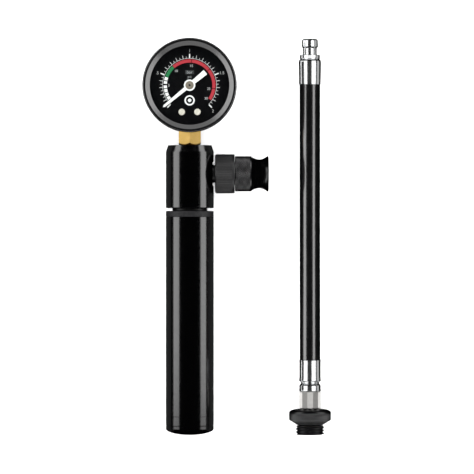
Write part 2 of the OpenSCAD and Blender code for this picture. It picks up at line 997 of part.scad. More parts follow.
// Plug-in nipple: stem in the hose, neck for the balls and a rounded head
module hose_nipple() {
    stem_r = fitting_bore_r - 0.1;
    neck_end = 178;
    head_r = nipple_r;
    color("#e2e3e6")
    along_hose()
        difference() {
            rotate_extrude()
                polygon(concat(
                    [[0, 162.4], [stem_r, 162.4], [stem_r, 175], [nipple_neck_r - 0.05, 175]],
                    [[nipple_neck_r - 0.05, neck_end], [head_r, neck_end + 0.8]],
                    [[head_r, nipple_top - 1]],
                    arc([head_r - 0.9, nipple_top - 0.9], 0.9, 0.9, 0, 90, 5),
                    [[0, nipple_top]]
                ));
            translate([0, 0, 160]) cylinder(r = 1.2, h = 30);
        }
}

module nipple_washer() {
    color("#e9e9ea") along_hose(flange_y - 0.25) ring(4.6, fitting_bore_r + 0.02, 1.9, 0.2);
}

module lower_ferrule() {
    color("#d9dadd")
        along_hose(stem_top + 0.2, thumb_z)
            ring(4.95, fitting_bore_r, lower_mouth - stem_top - 0.2, 0.2);
}

// Stem that joins the hose to the thumb collar, which turns on it
module swivel_stem() {
    color("#d9dadd")
    along_hose(0, thumb_z)
        difference() {
            rotate_extrude()
                polygon([
                    [0, 6.2], [2.8, 6.2], [2.8, nut_top + 0.05], [4.7, nut_top + 0.05],
                    [4.9, nut_top + 0.3], [4.9, 23.2], [4.7, 23.4], [4.2, 23.5],
                    [4.2, stem_top], [fitting_bore_r - 0.1, stem_top],
                    [fitting_bore_r - 0.1, lower_mouth - 1], [0, lower_mouth - 1]
                ]);
            cylinder(r = 1.4, h = 40);
        }
}

// Nut with twelve flats that holds the thumb collar to the stem
module swivel_nut() {
    flats = 12;
    across_flats = 9.9;
    length = nut_top - thumb_top - 0.1;
    color("#b4b2ad")
    along_hose(thumb_top + 0.1, thumb_z)
        difference() {
            intersection() {
                rotate(180 / flats)
                    cylinder(d = across_flats / cos(180 / flats), h = length, $fn = flats);
                ring(across_flats / 2 + 0.3, 0, length, 0.5);
            }
            translate([0, 0, -1]) cylinder(r = 2.85, h = 12);
        }
}

// Thumb collar and fill thread in one piece
module thumb_adapter() {
    relief_r = 5.3;
    band_from = 7;
    band_to = 10.3;
    dome_r = 4.8;
    thread_r = thread_d / 2;
    color("#161618")
    along_hose(0, thumb_z)
        difference() {
            rotate_extrude()
                polygon(concat(
                    [[0, 0], [thread_r - 0.5, 0], [thread_r, 0.4], [thread_r, thread_len]],
                    [[relief_r, thread_len], [relief_r, thumb_base]],
                    [[thumb_r - edge, band_from - edge], [thumb_r, band_from]],
                    arc([dome_r, band_to], thumb_r - dome_r, thumb_top - band_to, 0, 90, 8),
                    [[0, thumb_top]]
                ));
            translate([0, 0, -1]) cylinder(r = 1.5, h = 14);
            translate([0, 0, 6]) cylinder(r = 2.86, h = 7);
        }
}

module thread_o_ring() {
    color("#0c0c0d") along_hose(thread_len + 0.46, thumb_z) o_ring(5.8, 0.88);
}

head_body();
barrel_tube();
bumper_ring();
barrel_end_bush();
barrel_seal();
valve_seat();
valve_ball();
valve_spring();
gauge_stem();
stem_washer();
gauge_case();
gauge_bezel();
gauge_lens();
lens_gasket();
dial_plate();
dial_screws();
dial_posts();
bourdon_tube();
tube_tip();
movement_back_plate();
movement_front_plate();
movement_pillars();
sector_gear();
tip_link();
pinion_arbor();
hairspring();
pointer();
pointer_cap();
port_adapter();
port_washer();
union_ring();
union_seal();
socket_body();
socket_o_ring();
lock_ball_1();
lock_ball_2();
lock_ball_3();
snap_ring();
sleeve_spring();
release_sleeve();
piston();
piston_seal();
piston_screw();
piston_rod();
rod_nut();
end_cap();
cap_o_ring();
handle_sleeve();
sleeve_collar();
collar_bush();
hose_tube();
upper_ferrule();
hose_nipple();
nipple_washer();
lower_ferrule();
swivel_stem();
swivel_nut();
thumb_adapter();
thread_o_ring();
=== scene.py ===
"""Looks of a mini pump with a pressure gauge, a quick coupler and a fill hose beside it."""

import math

import bpy
from mathutils import Matrix, Vector


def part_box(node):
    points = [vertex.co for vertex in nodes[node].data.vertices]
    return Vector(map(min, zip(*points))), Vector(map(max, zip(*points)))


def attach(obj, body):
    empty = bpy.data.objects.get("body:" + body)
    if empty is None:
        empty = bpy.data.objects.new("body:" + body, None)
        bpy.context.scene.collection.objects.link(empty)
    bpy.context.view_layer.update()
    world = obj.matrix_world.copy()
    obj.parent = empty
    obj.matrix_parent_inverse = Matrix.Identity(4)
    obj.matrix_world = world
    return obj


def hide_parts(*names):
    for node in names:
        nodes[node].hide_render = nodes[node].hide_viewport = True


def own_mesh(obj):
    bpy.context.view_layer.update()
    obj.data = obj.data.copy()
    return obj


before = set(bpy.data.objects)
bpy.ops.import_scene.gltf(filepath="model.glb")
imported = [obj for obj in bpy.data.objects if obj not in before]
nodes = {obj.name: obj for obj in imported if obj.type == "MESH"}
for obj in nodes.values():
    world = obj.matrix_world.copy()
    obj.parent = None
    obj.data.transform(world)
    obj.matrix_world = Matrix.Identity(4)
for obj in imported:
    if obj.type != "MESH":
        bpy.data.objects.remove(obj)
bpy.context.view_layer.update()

MM = 0.001


# ---------- places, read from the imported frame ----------

def middle(node):
    """Middle of a node's box."""
    low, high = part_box(node)
    return (low + high) / 2


pump_x = middle("handle_sleeve").x
pump_z = middle("handle_sleeve").z
pump_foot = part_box("end_cap")[0].y
port_y = middle("union_ring").y
hose_x = middle("thumb_adapter").x
thumb_z = middle("thumb_adapter").z
dial = Vector((middle("dial_plate").x, middle("dial_plate").y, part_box("dial_plate")[1].z))

# Local Z of a turned piece runs along the frame's Y or X
ALONG_Y = Matrix(((1, 0, 0), (0, 0, 1), (0, -1, 0))).to_4x4()
ALONG_X = Matrix(((0, 0, 1), (0, 1, 0), (-1, 0, 0))).to_4x4()
coupler_place = Matrix.Translation((pump_x, port_y, pump_z)) @ ALONG_X
thumb_place = Matrix.Translation((hose_x, pump_foot, thumb_z)) @ ALONG_Y


# ---------- camera ----------

# Width of the view at the height of the pump's axis
VIEW_WIDTH = 0.218
# How far the middle of the view lies to the right of that axis, and beyond the pump's foot
VIEW_RIGHT, VIEW_AHEAD = 0.0217, 0.09103
LENS, SENSOR = 400, 36
camera_data = bpy.data.cameras.new("camera")
camera_data.lens = LENS
camera_data.sensor_width = SENSOR
camera_data.clip_start = 0.1
camera_data.clip_end = 20
camera = bpy.data.objects.new("camera", camera_data)
bpy.context.scene.collection.objects.link(camera)
camera.location = (
    pump_x + VIEW_RIGHT,
    pump_foot + VIEW_AHEAD,
    pump_z + VIEW_WIDTH * LENS / SENSOR,
)
bpy.context.scene.camera = camera


# ---------- fill hose: sizes and route ----------

HOSE_D = 0.0094
# Distance from the pump's foot and height, as the hose's CAD solid runs
HOSE_ROUTE = [
    (0.1614, 0.00515), (0.152, 0.00515), (0.143, 0.0051), (0.134, 0.005), (0.125, 0.0049),
    (0.116, 0.0048), (0.107, 0.00475), (0.098, 0.0048), (0.089, 0.0051), (0.080, 0.00575),
    (0.071, 0.0067), (0.062, 0.0077), (0.053, 0.00865), (0.044, 0.0094), (0.039, 0.0096),
    (0.0345, 0.00965),
]
HOSE_SIDES = 48
HOSE_STEPS = 8


def smooth_path(points, count):
    """Catmull-Rom curve through (y, z) points, with count steps between two."""
    ends = [points[0]] + points + [points[-1]]
    path = []
    for i in range(1, len(ends) - 2):
        for j in range(count):
            t = j / count
            weights = (
                -t ** 3 + 2 * t ** 2 - t,
                3 * t ** 3 - 5 * t ** 2 + 2,
                -3 * t ** 3 + 4 * t ** 2 + t,
                t ** 3 - t ** 2,
            )
            near = ends[i - 1:i + 3]
            path.append(tuple(
                sum(w * q[k] for w, q in zip(weights, near)) / 2 for k in (0, 1)
            ))
    return path + [points[-1]]


# ---------- meshes ----------

def new_piece(name, verts, faces, smooth_deg=35):
    """Mesh object whose edges stay sharp above smooth_deg degrees."""
    mesh = bpy.data.meshes.new(name)
    mesh.from_pydata(verts, [], faces)
    mesh.validate()
    mesh.shade_smooth()
    mesh.set_sharp_from_angle(angle=math.radians(smooth_deg))
    piece = bpy.data.objects.new(name, mesh)
    bpy.context.scene.collection.objects.link(piece)
    return piece


def lathe(name, outline, columns, place, shape=None, smooth_deg=35):
    """Turns a closed outline of (r, h) points, in mm, about local Z: up the outside, down the bore.

    shape(r, h, angle) moves a point to its own (r, h), where the surface isn't round.
    """
    rows = len(outline)
    verts = []
    for j in range(columns):
        angle = 2 * math.pi * j / columns
        for r, h in outline:
            q, k = shape(r, h, angle) if shape else (r, h)
            verts.append(place @ Vector((q * math.cos(angle), q * math.sin(angle), k)))
    faces = []
    for j in range(columns):
        k = (j + 1) % columns
        for i in range(rows):
            n = (i + 1) % rows
            faces.append((j * rows + i, k * rows + i, k * rows + n, j * rows + n))
    return new_piece(name, verts, faces, smooth_deg)


def in_mm(place):
    """The same place, for points given in mm."""
    return place @ Matrix.Scale(MM, 4)


def steps(start, end, count):
    """count + 1 even values from start to end."""
    return [start + (end - start) * i / count for i in range(count + 1)]


def ridge(turns):
    """0 in the middle of a groove, 1 on the crest between two."""
    return 1 - abs(2 * (turns % 1) - 1)


def fade(h, low, high, width):
    """1 between low and high, and down to 0 over width outside them."""
    return max(0.0, min(1.0, (h - low) / width + 1, (high - h) / width + 1))


def tube(name, path, across, r, sides):
    """Round tube with flat ends along a path of points; across[i] is square to it there."""
    verts = []
    last = len(path) - 1
    for i, point in enumerate(path):
        tangent = (path[min(i + 1, last)] - path[max(i - 1, 0)]).normalized()
        up = tangent.cross(across[i]).normalized()
        for j in range(sides):
            angle = 2 * math.pi * j / sides
            verts.append(point + r * (across[i] * math.cos(angle) + up * math.sin(angle)))
    faces = [tuple(range(sides)), tuple(last * sides + j for j in reversed(range(sides)))]
    for i in range(last):
        for j in range(sides):
            k = (j + 1) % sides
            a, b = i * sides, (i + 1) * sides
            faces.append((a + j, b + j, b + k, a + k))
    return new_piece(name, verts, faces)


# ---------- fill hose ----------

hose_path = [
    Vector((hose_x, pump_foot + y, z)) for y, z in smooth_path(HOSE_ROUTE, HOSE_STEPS)
]
hose_across = [Vector((1, 0, 0))] * len(hose_path)
hose = tube("fill_hose", hose_path, hose_across, HOSE_D / 2, HOSE_SIDES)
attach(hose, "hose")
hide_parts("hose_tube")


# ---------- spring of the check valve, a coil of one fixed length, though the real one shortens as the ball lifts ---

SPRING_TURNS, SPRING_STEPS, WIRE_SIDES = 5, 36, 12
WIRE_R = 0.2 * MM

spring_low, spring_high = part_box("valve_spring")
spring_axis = middle("valve_spring")
coil_r = (spring_high.x - spring_low.x) / 2 - WIRE_R
coil_foot, coil_roof = spring_low.y + WIRE_R, spring_high.y - WIRE_R
coil_angles = steps(0, 2 * math.pi * SPRING_TURNS, SPRING_TURNS * SPRING_STEPS)
outwards = [Vector((math.cos(a), 0, -math.sin(a))) for a in coil_angles]
coil_path = [
    Vector((spring_axis.x, y, spring_axis.z)) + coil_r * out
    for y, out in zip(steps(coil_foot, coil_roof, len(outwards) - 1), outwards)
]
valve_spring = tube("valve_spring_wire", coil_path, outwards, WIRE_R, WIRE_SIDES)
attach(valve_spring, "pump")
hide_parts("valve_spring")
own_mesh(valve_spring)


# ---------- coupler, in mm out from the pump's axis ----------

# Columns of a knurled piece for each of its ribs
PER_RIB = 10
# Edges stay sharp above these angles on the ribs and on the crossed knurls
RIB_SHARP, KNURL_SHARP = 28, 30
UNION_R = 9.0
UNION_RIBS = 66
# Depth of the grooves, and of the outer layer that takes them
UNION_GROOVE, UNION_SKIN = 0.14, 0.65
# Slope of a rib's flanks: above 1 it ends in a flat crest
UNION_FLANK, GRIP_FLANK = 1.9, 1.7
UNION_FOOT, UNION_TOP = 11.6, 20.65
UNION_BORE, UNION_ROOM = 4.18, 7.06
UNION_FLOOR = 12.6
UNION_KNURL = (12.25, 19.55)


def union_shape(r, h, angle):
    """Straight ribs with flat crests on the outside of the union ring; its bore stays round."""
    if r < UNION_R - UNION_SKIN:
        return r, h
    amount = fade(h, *UNION_KNURL, 0.12)
    crest = min(1.0, UNION_FLANK * ridge(angle * UNION_RIBS / (2 * math.pi)))
    return r - UNION_GROOVE * amount * (1 - crest), h


union_ring = lathe(
    "union_ring_knurled",
    [(UNION_BORE, UNION_FOOT), (8.4, UNION_FOOT), (8.75, 11.85), (8.97, 12.15)]
    + [(UNION_R, h) for h in [12.3] + steps(12.5, 19.4, 6) + [19.55, 19.7, 20.4]]
    + [(8.85, 20.6), (8.7, UNION_TOP), (UNION_ROOM, UNION_TOP)]
    + [(UNION_ROOM, UNION_FLOOR), (UNION_BORE, UNION_FLOOR)],
    UNION_RIBS * PER_RIB,
    in_mm(coupler_place),
    union_shape,
    RIB_SHARP,
)
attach(union_ring, "union_ring")
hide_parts("union_ring")

# Depth of the crossed knurls
KNURL_DEPTH = 0.2
GRIP_R = 8.1
GRIP_STARTS = 44
GRIP_PITCH = 2 * math.pi * GRIP_R / GRIP_STARTS
GRIP_FOOT, GRIP_TOP = 20.75, 28.4
GRIP_KNURL = (21.35, 27.65)
SPRING_ROOM_R, SPRING_ROOM_END = 6.6, 25.4
BALL_ROOM_R = 5.75


def grip_shape(r, h, angle):
    """Crossed knurl on the outside of the release sleeve's grip; its bore stays round."""
    if r < GRIP_R - KNURL_DEPTH:
        return r, h
    amount = fade(h, *GRIP_KNURL, 0.2)
    around = angle * GRIP_STARTS / (2 * math.pi)
    along = h / GRIP_PITCH
    crest = min(1.0, GRIP_FLANK * min(ridge(around + along), ridge(around - along)))
    return r - KNURL_DEPTH * amount * (1 - crest), h


release_grip = lathe(
    "release_sleeve_grip",
    [(SPRING_ROOM_R, GRIP_FOOT), (7.8, GRIP_FOOT), (8.02, 20.83)]
    + [(GRIP_R, h) for h in [21.05] + steps(21.15, 27.85, 56) + [28.1]]
    + [(8.03, 28.3), (7.8, GRIP_TOP), (BALL_ROOM_R, GRIP_TOP), (5.25, 26.5)]
    + [(5.25, SPRING_ROOM_END), (SPRING_ROOM_R, SPRING_ROOM_END)],
    GRIP_STARTS * PER_RIB,
    in_mm(coupler_place),
    grip_shape,
    KNURL_SHARP,
)

# The nose narrows from the grip to its waist and flares to its mouth, each time as a parabola
WAIST_R, WAIST_H = 6.6, 31.9
MOUTH_BORE, RECESS_R = 5.4, 5.9
NOSE_COLUMNS = 96

release_nose = lathe(
    "release_sleeve_nose",
    [(BALL_ROOM_R, GRIP_TOP), (7.8, GRIP_TOP)]
    + [(WAIST_R + 1.2 * (1 - t) ** 2, GRIP_TOP + 3.5 * t) for t in steps(1 / 16, 15 / 16, 14)]
    + [(WAIST_R + 1.65 * t ** 2, WAIST_H + 3.8 * t) for t in steps(0, 1, 16)]
    + [(8.18, 35.95), (7.95, 36.12), (7.5, 36.25), (7.05, 36.3), (6.2, 36.3), (5.75, 36.1)]
    + [(5.45, 35.7), (MOUTH_BORE, 35.5), (MOUTH_BORE, 31.2), (RECESS_R, 31.2), (RECESS_R, 28.97)],
    NOSE_COLUMNS,
    in_mm(coupler_place),
)
for piece in (release_grip, release_nose):
    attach(piece, "release_sleeve")
    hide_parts("release_sleeve")


# ---------- thumb collar, in mm from the tip of its thread ----------

THREAD_PITCH = 1.337
THREAD_R = 6.579
THREAD_DEPTH = 0.856
THREAD_LEN = 3.4
THREAD_FLANK = 1.25
THUMB_R = 9.65
THUMB_STARTS = 54
THUMB_PITCH = 2 * math.pi * THUMB_R / THUMB_STARTS
THUMB_KNURL = (5.0, 9.7)
THUMB_FLANK = 2
# Height over radius on the cone between the thread and the band
CONE_SLOPE = 0.6
TOP_SLOTS = 18
SLOT_DEPTH = 0.7
SLOT_REACH = (3.4, 7.4)


def thumb_shape(r, h, angle):
    """Thread turns at the foot, slots in the domed top and a crossed knurl between them."""
    if h < THREAD_LEN + 0.02 and r > 5:
        turn = h / THREAD_PITCH - angle / (2 * math.pi)
        crest = min(1.0, THREAD_FLANK * ridge(turn))
        return r - THREAD_DEPTH * (1 - crest), h
    if h > 10.4 and 3 < r < THUMB_R:
        depth = SLOT_DEPTH * fade(r, *SLOT_REACH, 0.8)
        slot = ridge(angle * TOP_SLOTS / (2 * math.pi))
        return r, h - depth * max(0.0, min(1.0, 4 * slot - 1.2))
    if h > 4.6 and r > 5.9:
        amount = fade(h, *THUMB_KNURL, 0.25)
        around = angle * THUMB_STARTS / (2 * math.pi)
        along = (h + (r - THUMB_R) * CONE_SLOPE) / THUMB_PITCH
        crest = min(1.0, THUMB_FLANK * min(ridge(around + along), ridge(around - along)))
        return r - KNURL_DEPTH * amount * (1 - crest), h
    return r, h


def thumb_outline():
    """Up the thread, the cone, the knurled band and the domed top, and down the bore."""
    thread = [(6.079, 0.0), (6.33, 0.2)] + [(THREAD_R, h) for h in steps(0.4, THREAD_LEN, 30)]
    cone = [(5.3 + 4.05 * t, 4.3 + 2.4 * t) for t in steps(0, 1, 42)]
    band = [(THUMB_R, h) for h in steps(7.0, 10.0, 28)]
    dome = [
        (4.8 + 4.85 * math.cos(a), 10.3 + 1.7 * math.sin(a))
        for a in steps(0.0, math.pi / 2, 16)
    ]
    bore = [(4.0, 12.0), (2.86, 12.0), (2.86, 6.0), (1.5, 6.0), (1.5, 0.0)]
    return thread + [(5.3, THREAD_LEN)] + cone + band + dome + bore


thumb_collar = lathe(
    "thumb_collar_knurled",
    thumb_outline(),
    THUMB_STARTS * PER_RIB,
    in_mm(thumb_place),
    thumb_shape,
    KNURL_SHARP,
)
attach(thumb_collar, "thumb_collar")
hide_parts("thumb_adapter")


# ---------- lower end of the hose, in mm from the tip of the thread ----------

FITTING_COLUMNS = 96
FITTING_SHARP = 50
STEM_BORE = 1.4
FERRULE_BORE = 3.2

swivel_stem = lathe(
    "swivel_stem_turned",
    [(STEM_BORE, 6.2), (2.8, 6.2), (2.8, 20.05), (4.75, 20.05), (4.98, 20.3), (5.02, 20.7)]
    + [(4.9, 21.1), (4.86, 21.5), (4.9, 21.9), (4.93, 22.3), (4.85, 22.7), (4.68, 23.05)]
    + [(4.42, 23.35), (4.2, 23.5), (4.1, 23.75), (4.15, 24.0), (4.3, 24.2), (4.3, 24.3)]
    + [(3.1, 24.3), (3.1, 33.5), (STEM_BORE, 33.5)],
    FITTING_COLUMNS,
    in_mm(thumb_place),
    smooth_deg=FITTING_SHARP,
)
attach(swivel_stem, "hose")
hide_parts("swivel_stem")

lower_ferrule = lathe(
    "lower_ferrule_turned",
    [(FERRULE_BORE, 24.5), (4.35, 24.5), (4.7, 24.6), (4.95, 24.8), (5.05, 25.05), (5.0, 25.4)]
    + [(4.9, 25.9), (4.86, 26.6), (4.85, 33.4), (4.95, 33.75), (4.99, 34.05), (4.93, 34.35)]
    + [(4.78, 34.5), (FERRULE_BORE, 34.5)],
    FITTING_COLUMNS,
    in_mm(thumb_place),
    smooth_deg=FITTING_SHARP,
)
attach(lower_ferrule, "hose")
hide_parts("lower_ferrule")


# ---------- dial print, in mm from the dial's middle ----------

PRINT_GAP, PRINT_H = 0.005, 0.04
# Half of the scale's sweep, which is as far as the dial's top is from each of its ends
HALF_SWEEP = 135
# Size of the font for letters of a given height
FONT_PER_HEIGHT = 1.37


def at_bar(value):
    """Angle of a pressure on the scale, in degrees clockwise from the dial's top."""
    return HALF_SWEEP * (value - 1)


def on_dial(angle_deg, r):
    """Point of the dial at an angle clockwise from its top, in mm."""
    a = math.radians(angle_deg)
    return r * math.sin(a), r * math.cos(a)


def dial_point(x, y, h):
    """Place in the frame, in metres, of a point given in mm on the dial and above it."""
    return dial + Vector((x, y, h)) * MM


def prism(outline, high=PRINT_H):
    """Verts and faces of a flat prism just over the dial, on an outline that runs anticlockwise."""
    n = len(outline)
    verts = [dial_point(x, y, PRINT_GAP) for x, y in outline]
    verts += [dial_point(x, y, high) for x, y in outline]
    faces = [tuple(range(n - 1, -1, -1)), tuple(range(n, 2 * n))]
    faces += [(i, (i + 1) % n, n + (i + 1) % n, n + i) for i in range(n)]
    return verts, faces


def joined(parts):
    """Verts and faces of several parts as one."""
    verts, faces = [], []
    for part_verts, part_faces in parts:
        base = len(verts)
        verts += part_verts
        faces += [tuple(base + i for i in face) for face in part_faces]
    return verts, faces


def tick(angle_deg, inner, outer, width):
    """Straight mark from one radius to another, at an angle clockwise from the dial's top."""
    half = width / 2
    a = math.radians(-angle_deg)
    corners = [(half, inner), (half, outer), (-half, outer), (-half, inner)]
    return prism([
        (x * math.cos(a) - y * math.sin(a), x * math.sin(a) + y * math.cos(a))
        for x, y in corners
    ])


def sector(start_deg, end_deg, inner, outer):
    """Part of a ring between two angles, in steps of about 3 degrees."""
    count = max(2, round((end_deg - start_deg) / 3))
    angles = steps(start_deg, end_deg, count)
    outline = [on_dial(a, inner) for a in angles]
    outline += [on_dial(a, outer) for a in reversed(angles)]
    return prism(outline)


def ring_band(cx, cy, inner, outer, count=32):
    """Flat ring as a row of short prisms, so that its hole stays open."""
    parts = []
    for i in range(count):
        a, b = 2 * math.pi * i / count, 2 * math.pi * (i + 1) / count
        parts.append(prism([
            (cx + inner * math.cos(a), cy + inner * math.sin(a)),
            (cx + outer * math.cos(a), cy + outer * math.sin(a)),
            (cx + outer * math.cos(b), cy + outer * math.sin(b)),
            (cx + inner * math.cos(b), cy + inner * math.sin(b)),
        ]))
    return joined(parts)


def plate(low_x, low_y, high_x, high_y):
    """Thin rectangle, which other print can lie on."""
    corners = [(low_x, low_y), (high_x, low_y), (high_x, high_y), (low_x, high_y)]
    return prism(corners, high=PRINT_H / 2)


def disc(cx, cy, r, count=24):
    """Flat disc with this many sides."""
    return prism([
        (cx + r * math.cos(2 * math.pi * i / count), cy + r * math.sin(2 * math.pi * i / count))
        for i in range(count)
    ])


def lettering(words):
    """Mesh parts of short texts, each (text, x, y, height in mm), lying on the dial."""
    parts = []
    for text, x, y, size in words:
        curve = bpy.data.curves.new("text", "FONT")
        curve.body = text
        curve.size = size * FONT_PER_HEIGHT
        curve.align_x = "CENTER"
        curve.align_y = "CENTER"
        curve.extrude = PRINT_H / 2
        holder = bpy.data.objects.new("text", curve)
        bpy.context.scene.collection.objects.link(holder)
        bpy.context.view_layer.update()
        evaluated = holder.evaluated_get(bpy.context.evaluated_depsgraph_get())
        mesh = bpy.data.meshes.new_from_object(evaluated)
        middle_y = (min(v.co.y for v in mesh.vertices) + max(v.co.y for v in mesh.vertices)) / 2
        parts.append((
            [dial_point(x + v.co.x, y + v.co.y - middle_y, PRINT_H / 2 + v.co.z)
             for v in mesh.vertices],
            [tuple(p.vertices) for p in mesh.polygons],
        ))
        bpy.data.objects.remove(holder)
        bpy.data.meshes.remove(mesh)
        bpy.data.curves.remove(curve)
    return joined(parts)


def dial_piece(name, parts):
    """Printed piece of the dial, which stays on the pump."""
    piece = new_piece(name, *joined(parts))
    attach(piece, "pump")
    return piece


TICK_COUNT = 41
BAR_PER_TICK = 0.05
# Inner radius, outer radius and width of the three kinds of tick
HALF_BAR_TICK = (12.55, 14.4, 0.52)
TENTH_BAR_TICK = (12.35, 13.95, 0.19)
SHORT_TICK = (12.35, 13.3, 0.15)

tick_parts = []
for i in range(TICK_COUNT):
    kind = HALF_BAR_TICK if i % 10 == 0 else TENTH_BAR_TICK if i % 2 == 0 else SHORT_TICK
    tick_parts.append(tick(at_bar(i * BAR_PER_TICK), *kind))
tick_parts.append(sector(-HALF_SWEEP, HALF_SWEEP, 12.3, 12.42))
dial_scale = dial_piece("dial_scale", tick_parts)

# The numbers in bar stand a little past their ticks, and those in psi inside the coloured band
BAR_NUMBERS = ((".5", 0.5), ("1", 1.0), ("1.5", 1.5), ("2", 2.0))
PSI_NUMBERS = (
    ("0", -134.5, 12.6), ("5", -90, 9.5), ("10", -43, 9.05), ("15", 5, 8.95),
    ("20", 50, 8.3), ("25", 100, 8.9), ("30", 128.5, 9.6),
)
BAR_NUMBER_R, BAR_NUMBER_SPREAD = 15.85, 1.02
BAR_NUMBER_H, PSI_NUMBER_H, UNIT_H = 1.4, 1.2, 1.5

numbers = []
for text, value in BAR_NUMBERS:
    place = on_dial(at_bar(value) * BAR_NUMBER_SPREAD, BAR_NUMBER_R)
    numbers.append((text, *place, BAR_NUMBER_H))
for text, angle, r in PSI_NUMBERS:
    numbers.append((text, *on_dial(angle, r), PSI_NUMBER_H))
dial_numbers = dial_piece("dial_numbers", [lettering(numbers)])

dial_units = dial_piece("dial_units", [
    lettering([("bar", 0, 6.05, UNIT_H), ("psi", 0, 3.75, PSI_NUMBER_H)]),
])
dial_unit_box = dial_piece("dial_unit_box", [
    plate(-2.05, 5.1, 2.05, 6.95),
    plate(-1.5, 2.95, 1.5, 3.02),
])

MARK_Y = -6.9
dial_mark = dial_piece("dial_mark", [ring_band(0, MARK_Y, 1.7, 2.35), disc(0, MARK_Y, 0.8)])

BAND_IN, BAND_OUT = 10.4, 11.9
WHITE_GAP, GREEN_GAP, RED_GAP = 1.9, 0.3, 1.5
PSI_PER_BAR = 14.504


def at_psi(value):
    """Angle of a pressure in psi on the scale."""
    return at_bar(value / PSI_PER_BAR)


def band_parts(edges, gap_deg):
    """Band sectors from each of these pressures in psi to the next, with a gap between two."""
    return [
        sector(at_psi(low) + gap_deg / 2, at_psi(high) - gap_deg / 2, BAND_IN, BAND_OUT)
        for low, high in zip(edges, edges[1:])
    ]


dial_white_band = dial_piece(
    "dial_white_band",
    band_parts([1, 2, 3, 4, 4.9], WHITE_GAP) + band_parts([5.1, 6, 7], WHITE_GAP),
)
dial_green_band = dial_piece("dial_green_band", band_parts([7, 10], GREEN_GAP))
dial_red_band = dial_piece("dial_red_band", band_parts([10, 15, 20, 25, 28], RED_GAP))


# ---------- materials ----------

# Colour sockets of a Mix node in RGBA mode: its two inputs and its output
MIX_A, MIX_B, MIXED = 6, 7, 2
# The patches of uneven roughness are this much finer than those of tone
WEAR_PER_TONE = 3.1
# Values of the noise that stand for the smoothest and the roughest spots
NOISE_LOW, NOISE_HIGH = 0.3, 0.7
# Scale of the tool lines' noise along the lines
ALONG_LINES = 12.0
GLASS_IOR = 1.46


def material(
    name, colour, tone, roughness, metallic=0.0, ior=1.5, specular=0.5,
    tone_scale=150.0, grain_scale=4000.0, grain=0.02, lines=0.0, line_axis="Y",
    line_scale=2500.0,
):
    """Principled material in object space: patchy tone, uneven roughness, fine grain and tool lines.

    colour and tone are the two ends of the patches, roughness is (low, high), grain and lines are
    bump heights in mm, and line_axis is the axis along which the tool lines follow each other.
    """
    made = bpy.data.materials.new(name)
    made.use_nodes = True
    tree = made.node_tree
    tree.nodes.clear()
    new, link = tree.nodes.new, tree.links.new
    out = new("ShaderNodeOutputMaterial")
    shader = new("ShaderNodeBsdfPrincipled")
    link(shader.outputs["BSDF"], out.inputs["Surface"])
    shader.inputs["Metallic"].default_value = metallic
    shader.inputs["IOR"].default_value = ior
    shader.inputs["Specular IOR Level"].default_value = specular
    place = new("ShaderNodeTexCoord")

    patches = new("ShaderNodeTexNoise")
    patches.inputs["Scale"].default_value = tone_scale
    patches.inputs["Detail"].default_value = 5
    link(place.outputs["Object"], patches.inputs["Vector"])
    blend = new("ShaderNodeMix")
    blend.data_type = "RGBA"
    blend.inputs[MIX_A].default_value = colour
    blend.inputs[MIX_B].default_value = tone
    link(patches.outputs["Fac"], blend.inputs["Factor"])
    link(blend.outputs[MIXED], shader.inputs["Base Color"])

    wear = new("ShaderNodeTexNoise")
    wear.inputs["Scale"].default_value = tone_scale * WEAR_PER_TONE
    wear.inputs["Detail"].default_value = 6
    wear.inputs["Roughness"].default_value = 0.65
    link(place.outputs["Object"], wear.inputs["Vector"])
    spread = new("ShaderNodeMapRange")
    spread.inputs["From Min"].default_value = NOISE_LOW
    spread.inputs["From Max"].default_value = NOISE_HIGH
    spread.inputs["To Min"].default_value = roughness[0]
    spread.inputs["To Max"].default_value = roughness[1]
    link(wear.outputs["Fac"], spread.inputs["Value"])
    link(spread.outputs["Result"], shader.inputs["Roughness"])

    fine = new("ShaderNodeTexNoise")
    fine.inputs["Scale"].default_value = grain_scale
    fine.inputs["Detail"].default_value = 3
    link(place.outputs["Object"], fine.inputs["Vector"])
    bump = new("ShaderNodeBump")
    bump.inputs["Strength"].default_value = 1.0
    bump.inputs["Distance"].default_value = grain * MM
    link(fine.outputs["Fac"], bump.inputs["Height"])
    last = bump
    if lines:
        stretch = new("ShaderNodeMapping")
        scale = [ALONG_LINES] * 3
        scale["XYZ".index(line_axis)] = line_scale
        stretch.inputs["Scale"].default_value = scale
        link(place.outputs["Object"], stretch.inputs["Vector"])
        tooling = new("ShaderNodeTexNoise")
        tooling.inputs["Scale"].default_value = 1.0
        tooling.inputs["Detail"].default_value = 2
        link(stretch.outputs["Vector"], tooling.inputs["Vector"])
        grooves = new("ShaderNodeBump")
        grooves.inputs["Strength"].default_value = 1.0
        grooves.inputs["Distance"].default_value = lines * MM
        link(tooling.outputs["Fac"], grooves.inputs["Height"])
        link(bump.outputs["Normal"], grooves.inputs["Normal"])
        last = grooves
    link(last.outputs["Normal"], shader.inputs["Normal"])
    return made


